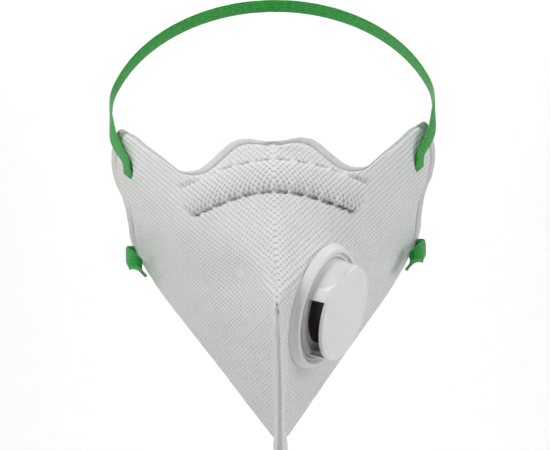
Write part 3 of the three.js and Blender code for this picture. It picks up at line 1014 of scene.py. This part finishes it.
# the crown's half ellipse leans back; its last stretch drops outside the wing to the upper slot
CROWN_FOOT, CROWN_LEAN = np.array([0, 1.0, 24.0]), math.radians(42)
CROWN_HALF, CROWN_RISE, CROWN_CENTRE_Z, CROWN_END = 77.3, 82, 50, 0.22
CROWN_LEG = [
    (74.9, 22, 55.2), (73.3, 9.5, 48.6), (71.6, 1, 42.0), (68.9, -4.5, 36.3), (65.7, -7.5, 30.8),
    (64.7, -8, 26.8), (64.7, -6.5, 23.4),
]
UPPER_SLOT, UPPER_SLOT_DIR = (62, -4, 18), unit([-0.42, -0.72, -0.10])


def crown_strap(word, s, mats):
    """Half of the head strap, from the middle of the crown to the upper slot."""
    plane_n = np.array([0, math.cos(CROWN_LEAN), -math.sin(CROWN_LEAN)])
    rise = np.array([0, math.sin(CROWN_LEAN), math.cos(CROWN_LEAN)])
    centre_h = (CROWN_CENTRE_Z - CROWN_FOOT[2]) / math.cos(CROWN_LEAN)
    crown = []
    for t in np.linspace(math.pi / 2, CROWN_END, 61)[::6]:
        sideways = np.array([CROWN_HALF * math.cos(t), 0, 0])
        crown.append(CROWN_FOOT + sideways + rise * (centre_h + CROWN_RISE * math.sin(t)))
    path = resample(catmull(crown + CROWN_LEG, 10), 190)
    run = lengths_along(path)
    turn = smooth((run[-1] - run - 6) / 52)[:, None]
    wide = plane_n * turn - UPPER_SLOT_DIR * (1 - turn)
    ob = ribbon(f"crown_strap_{word}", flipped(path, s), flipped(wide, s), mats["elastic"])
    finish_strap(ob, s, "head_strap", UPPER_SLOT)


# the nape's half ellipse starts where the strap has come round the wing's corner
NAPE_ORIGIN, NAPE_LEAN = np.array([0, 1.0, -12.0]), math.radians(101)
NAPE_HALF, NAPE_START, NAPE_REACH = 54, 24, 70
NAPE_LEG = [
    (56.9, -12.5, -21.2), (59.4, -12.5, -18.3), (62.2, -11.5, -15.2), (64.6, -8.5, -12.9),
    (66.2, -3.5, -11.9), (65.6, 1.5, -11.6), (62.5, 8, -11.8), (56.5, 18, -12.8),
]
LOWER_SLOT = (58, -5, -15)


def nape_strap(word, s, mats):
    """Half of the neck strap: out of the lower slot, round the wing's corner and back."""
    away = np.array([0, math.sin(NAPE_LEAN), math.cos(NAPE_LEAN)])
    nape = []
    for t in np.linspace(0.12, math.pi / 2, 50):
        sideways = np.array([NAPE_HALF * math.cos(t), 0, 0])
        nape.append(NAPE_ORIGIN + sideways + away * (NAPE_START + NAPE_REACH * math.sin(t)))
    path = resample(catmull(NAPE_LEG + nape[::5] + [nape[-1]], 10), 170)
    run = lengths_along(path)
    turn = smooth((run - 16) / 50)[:, None]
    stand_up = smooth((run - 2.5) / 7)[:, None]
    first = np.array([0.08, 1, 0.05]) * (1 - stand_up) + np.array([0, 0.1, 1]) * stand_up
    wide = np.array([0, -away[2], away[1]]) * turn + first * (1 - turn)
    ob = ribbon(f"nape_strap_{word}", flipped(path, s), flipped(wide, s), mats["elastic"])
    finish_strap(ob, s, "neck_strap", LOWER_SLOT)


def inner_run(word, s, mats):
    """The elastic inside the wing, from the upper slot to the lower one, within the CAD run's box."""
    lo, hi = np.array(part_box(f"strap_run_{word}")) / MM
    upper = np.array([max(abs(lo[0]), abs(hi[0])) - 1.5, hi[1] - 3.0, hi[2] - 4.0])
    lower = np.array([min(abs(lo[0]), abs(hi[0])) + 3.2, lo[1] + 4.2, lo[2] + 2.5])
    path = resample(np.array([upper, (upper + lower) / 2 + [0.4, -0.4, 0], lower]), 40)
    wide = np.tile(BEND, (len(path), 1))
    ob = ribbon(f"inner_run_{word}", flipped(path, s), flipped(wide, s), mats["elastic"])
    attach(ob, f"cheek_{word}")
    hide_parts(f"strap_run_{word}")


def straps(mats):
    for word, s in SIDES.items():
        crown_strap(word, s, mats)
        nape_strap(word, s, mats)
        inner_run(word, s, mats)


def fold_strap(ob, s, slot_at):
    """Works out how far the strap's slot moves as the mask folds flat, and gives the strap its own mesh; the
    strap's end is not moved.
    """
    fold = math.radians(JOINTS["fold_right"]["range_deg"][1])
    bend = math.radians(JOINTS["cheek_bend_right"]["range_deg"][1])
    p = Vector(slot_at) - Vector(BEAK)
    p = Matrix.Rotation(-bend, 3, Vector(BEND)) @ p
    p = Matrix.Rotation(fold, 3, Vector(RIDGE)) @ p
    move = np.array(Vector(BEAK) + p) - np.array(slot_at, float)
    d = unit(move)
    anchor = np.array(slot_at) + d * np.linalg.norm(move) / (1 - STRAP_KEEP)
    axis, anchor = tuple(d * [s, 1, 1]), tuple(anchor * [s, 1, 1] * MM)
    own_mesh(ob)


# ---------- studio ----------
FLOOR_Z, FLOOR_FRONT, FLOOR_BACK, COVE_R, WALL_TOP = -0.6, -3.0, 1.2, 0.9, 3.0  # metres


def sweep():
    """A pale floor that curves up into a pale back wall."""
    prof = [(FLOOR_FRONT, FLOOR_Z), (FLOOR_BACK, FLOOR_Z)]
    for t in np.linspace(0, math.pi / 2, 24)[1:]:
        prof.append((FLOOR_BACK + COVE_R * math.sin(t), FLOOR_Z + COVE_R * (1 - math.cos(t))))
    prof.append((FLOOR_BACK + COVE_R, WALL_TOP))
    verts = [(x, y, z) for y, z in prof for x in (-4, 4)]
    faces = [(2 * i, 2 * i + 1, 2 * i + 3, 2 * i + 2) for i in range(len(prof) - 1)]
    mat = Nodes("paper")
    grain = noise_at(mat, 30, 3)
    mat.link(mat.ramp(grain, [(0.3, (0.93, 0.93, 0.93)), (0.7, (0.95, 0.95, 0.95))]), "Base Color")
    mat.set(Roughness=0.9)
    make("sweep", np.array(verts) / MM, faces, mat.m)


# name, place, what it points at, size, and watts
LAMPS = [
    ("key_left", (-0.32, -0.36, 0.34), (0, -0.04, 0), (0.3, 0.3), 2.1),
    ("key_right", (0.32, -0.36, 0.34), (0, -0.04, 0), (0.3, 0.3), 0.72),
    ("side_left", (-1.1, -0.35, 0.25), (0, -0.03, 0), (0.6, 0.7), 2.6),
    ("side_right", (1.1, -0.35, 0.25), (0, -0.03, 0), (0.6, 0.7), 6.0),
    ("backdrop", (0, 0.9, 1.6), (0, 2.0, 0.2), (2.6, 0.8), 47),
]


def lamp(name, at, target, size, power):
    data = bpy.data.lights.new(name, "AREA")
    data.shape = "RECTANGLE"
    data.size, data.size_y = size
    data.energy = power
    ob = bpy.data.objects.new(name, data)
    bpy.context.scene.collection.objects.link(ob)
    ob.location = at
    ob.rotation_euler = (Vector(target) - Vector(at)).to_track_quat("-Z", "Y").to_euler()


def studio():
    sweep()
    for row in LAMPS:
        lamp(*row)
    world = bpy.data.worlds.new("world")
    bpy.context.scene.world = world
    world.use_nodes = True
    bg = world.node_tree.nodes["Background"]
    bg.inputs["Color"].default_value = (1, 1, 1, 1)
    bg.inputs["Strength"].default_value = 0.01
    bpy.context.scene.view_settings.view_transform = "Standard"


def fabric(mats):
    for word in SIDES:
        hole = in_valve_hole if word == "right" else None
        layer(word, "cover", "outer_cover", mats["cover"], 0.0, COVER_T, 0, hole)
        layer(word, "web", "filter", mats["filter"], COVER_T + GAP, FILTER_T - 0.2, 1, hole)
        layer(word, "inner", "lining", mats["lining"], FABRIC_T - LINING_T, LINING_T, 1, hole)
        hem(word, mats["weld"])


def main():
    camera()
    mats = materials()
    fabric(mats)
    nose_pieces(mats)
    chin_fin(mats)
    valve_base(mats)
    valve_cap(mats)
    valve_inside(mats)
    straps(mats)
    studio()


main()
